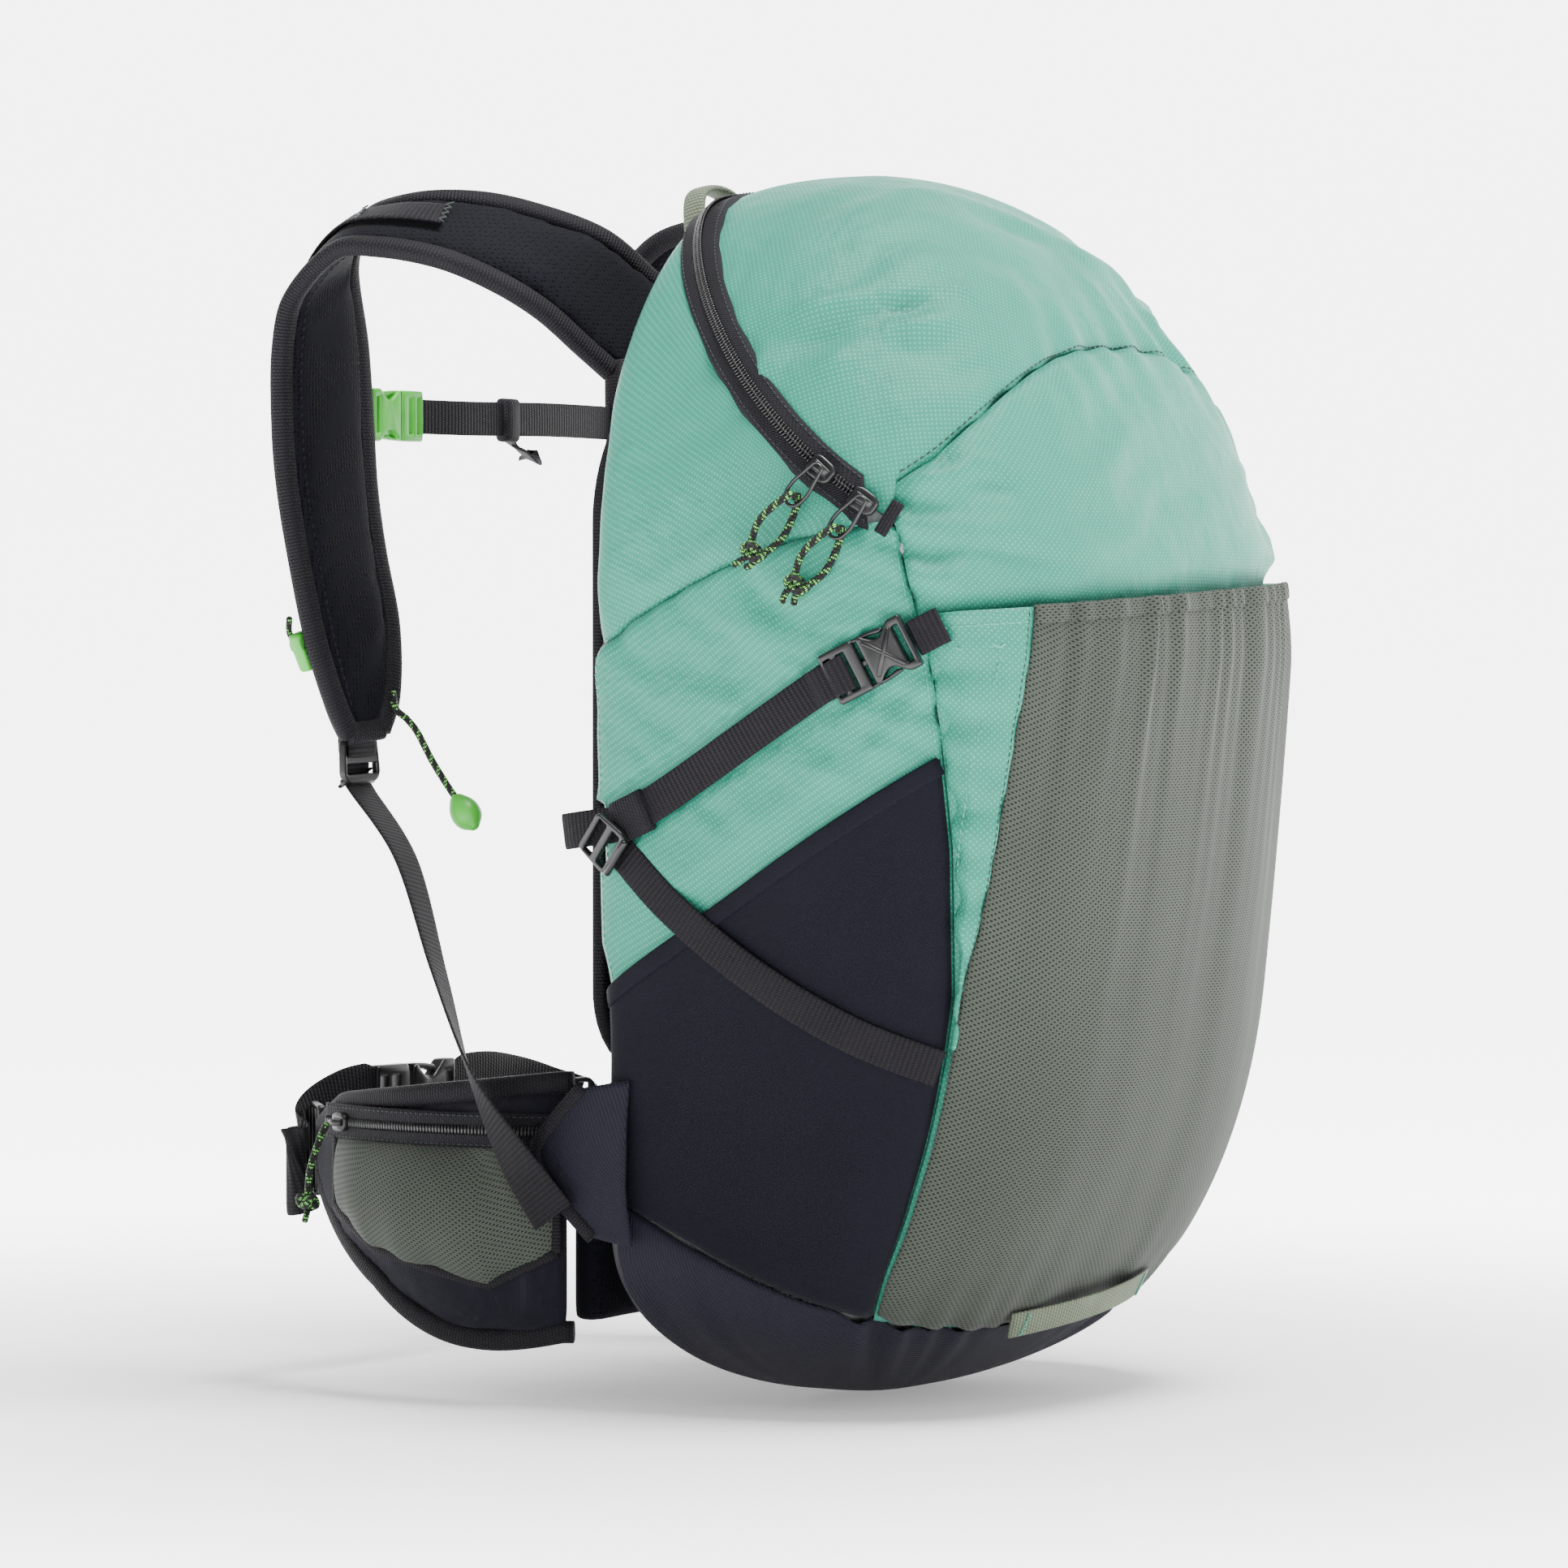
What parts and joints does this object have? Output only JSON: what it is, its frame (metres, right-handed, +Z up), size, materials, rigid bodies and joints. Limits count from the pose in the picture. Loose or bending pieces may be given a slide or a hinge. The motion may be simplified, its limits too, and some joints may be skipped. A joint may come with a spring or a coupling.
{
  "type": "hiking backpack",
  "caption": "Mid-size hiking backpack with a curved zip lid, mesh front pocket, stretch side pockets, padded shoulder straps, sternum strap and pocketed hip belt.",
  "frame": {"origin": "middle of the back panel's face, where the wearer's back rests", "axes": "+X the wearer's right, +Y towards the wearer, +Z up"},
  "size_m": [0.3214, 0.3938, 0.5099],
  "materials": {
    "mint_cloth": "coated ripstop, satin",
    "grey_green_mesh": "open mesh, matte",
    "black_stretch": "matte knit",
    "base_twill": "matte twill",
    "black_webbing": "ribbed webbing",
    "green_grey_webbing": "ribbed webbing",
    "strap_mesh": "padded, matte",
    "black_plastic": "satin moulded",
    "green_plastic": "satin moulded",
    "aluminium": "bare wire",
    "frame_sheet": "matte sheet",
    "cord": "braided"
  },
  "bodies": {
    "bag": {"back_panel": "strap_mesh", "bag_shell": "mint_cloth", "base_panel": "base_twill", "compression_left_socket": "black_plastic", "compression_right_socket": "black_plastic", "compression_stub_left": "black_webbing", "compression_stub_right": "black_webbing", "compression_web_left": "black_webbing", "compression_web_right": "black_webbing", "frame_sheet": "frame_sheet", "frame_stay": "aluminium", "front_pocket": "grey_green_mesh", "hip_socket": "black_plastic", "hip_web_left": "black_webbing", "hip_web_right": "black_webbing", "hydration_sleeve": "mint_cloth", "light_loop": "green_grey_webbing", "lower_web_left": "black_webbing", "lower_web_right": "black_webbing", "lumbar_pad": "strap_mesh", "side_pocket_left": "black_stretch", "side_pocket_right": "black_stretch", "stabiliser_left": "base_twill", "stabiliser_right": "base_twill", "strap_web_left": "black_webbing", "strap_web_right": "black_webbing", "web_lock_left": "black_plastic", "web_lock_right": "black_plastic", "zip_tape_lower": "black_webbing"},
    "lid": {"lid_shell": "mint_cloth", "zip_tape_upper": "black_webbing"},
    "haul_loop": {"haul_loop": "green_grey_webbing"},
    "zip_slider_rear": {"zip_slider_rear": "black_plastic"},
    "zip_slider_front": {"zip_slider_front": "black_plastic"},
    "zip_pull_rear": {"zip_pull_rear": "black_plastic", "zip_cord_rear": "cord"},
    "zip_pull_front": {"zip_pull_front": "black_plastic", "zip_cord_front": "cord"},
    "compression_plug_left": {"compression_left_plug": "black_plastic"},
    "compression_plug_right": {"compression_right_plug": "black_plastic"},
    "strap_left": {"shoulder_strap_left": "strap_mesh", "strap_ladder_left": "black_plastic", "strap_cord": "cord", "strap_cord_pull": "green_plastic", "sternum_socket": "green_plastic"},
    "strap_right": {"shoulder_strap_right": "strap_mesh", "strap_ladder_right": "black_plastic", "sternum_web": "black_webbing"},
    "sternum_plug": {"sternum_plug": "green_plastic"},
    "wing_left": {"hip_wing_left": "strap_mesh", "hip_pocket_left": "grey_green_mesh", "hip_lock_left": "black_plastic"},
    "wing_right": {"hip_wing_right": "strap_mesh", "hip_pocket_right": "grey_green_mesh", "hip_lock_right": "black_plastic"},
    "hip_slider_left": {"hip_slider_left": "black_plastic", "hip_cord": "cord"},
    "hip_slider_right": {"hip_slider_right": "black_plastic"},
    "hip_plug": {"hip_plug": "black_plastic"}
  },
  "joints": [
    {"name": "lid_fold", "type": "hinge", "parent": "bag", "child": "lid", "pos_m": [0, -0.2198, 0.084], "axis": [1, 0, 0], "range_deg": [0, 95]},
    {"name": "haul_loop_swing", "type": "hinge", "parent": "bag", "child": "haul_loop", "pos_m": [0, 0.0026, 0.2265], "axis": [1, 0, 0], "range_deg": [-70, 12]},
    {"name": "zip_rear_travel", "type": "slide", "parent": "bag", "child": "zip_slider_rear", "axis": [-0.0098, 0.7474, 0.6643], "range_m": [0, 0.033]},
    {"name": "zip_front_travel", "type": "slide", "parent": "bag", "child": "zip_slider_front", "axis": [-0.1968, 0.8028, 0.5628], "range_m": [0, 0.006]},
    {"name": "zip_pull_rear_lift", "type": "hinge", "parent": "zip_slider_rear", "child": "zip_pull_rear", "pos_m": [-0.15217, -0.13607, 0.13617], "axis": [0, 0.7507, 0.6606], "range_deg": [0, 100]},
    {"name": "zip_pull_front_lift", "type": "hinge", "parent": "zip_slider_front", "child": "zip_pull_front", "pos_m": [-0.1488, -0.15443, 0.12314], "axis": [0, 0.7507, 0.6606], "range_deg": [0, 100]},
    {"name": "compression_release_left", "type": "slide", "parent": "bag", "child": "compression_plug_left", "axis": [-0.3098, 0.8339, -0.4568], "range_m": [0, 0.022], "deforming": ["compression_web_left"]},
    {"name": "compression_release_right", "type": "slide", "parent": "bag", "child": "compression_plug_right", "axis": [0.3098, 0.8339, -0.4568], "range_m": [0, 0.022], "deforming": ["compression_web_right"]},
    {"name": "strap_swing_left", "type": "hinge", "parent": "bag", "child": "strap_left", "pos_m": [0, 0.0096, 0.207], "axis": [1, 0, 0], "range_deg": [-10, 20], "deforming": ["strap_web_left"]},
    {"name": "strap_swing_right", "type": "hinge", "parent": "bag", "child": "strap_right", "pos_m": [0, 0.0096, 0.207], "axis": [1, 0, 0], "range_deg": [-10, 20], "deforming": ["strap_web_right"]},
    {"name": "sternum_release", "type": "slide", "parent": "strap_right", "child": "sternum_plug", "axis": [1, 0, 0], "range_m": [0, 0.022], "deforming": ["sternum_web"]},
    {"name": "hip_wing_left_swing", "type": "hinge", "parent": "bag", "child": "wing_left", "pos_m": [-0.1283, -0.00422, -0.165], "axis": [0, 0, 1], "range_deg": [-3, 12], "deforming": ["hip_web_left", "stabiliser_left"]},
    {"name": "hip_wing_right_swing", "type": "hinge", "parent": "bag", "child": "wing_right", "pos_m": [0.1283, -0.00422, -0.165], "axis": [0, 0, -1], "range_deg": [-3, 12], "deforming": ["hip_web_right", "stabiliser_right"]},
    {"name": "hip_zip_left_travel", "type": "hinge", "parent": "wing_left", "child": "hip_slider_left", "pos_m": [0.008, 0.0481, -0.1353], "axis": [0, 0, 1], "range_deg": [0, 34]},
    {"name": "hip_zip_right_travel", "type": "hinge", "parent": "wing_right", "child": "hip_slider_right", "pos_m": [-0.008, 0.0481, -0.1353], "axis": [0, 0, -1], "range_deg": [0, 34]},
    {"name": "hip_release", "type": "slide", "parent": "bag", "child": "hip_plug", "axis": [-1, 0, 0], "range_m": [0, 0.03], "deforming": ["hip_web_left"]}
  ],
  "couplings": [
    {"joint": "strap_swing_right", "follows": "strap_swing_left", "ratio": 1}
  ]
}
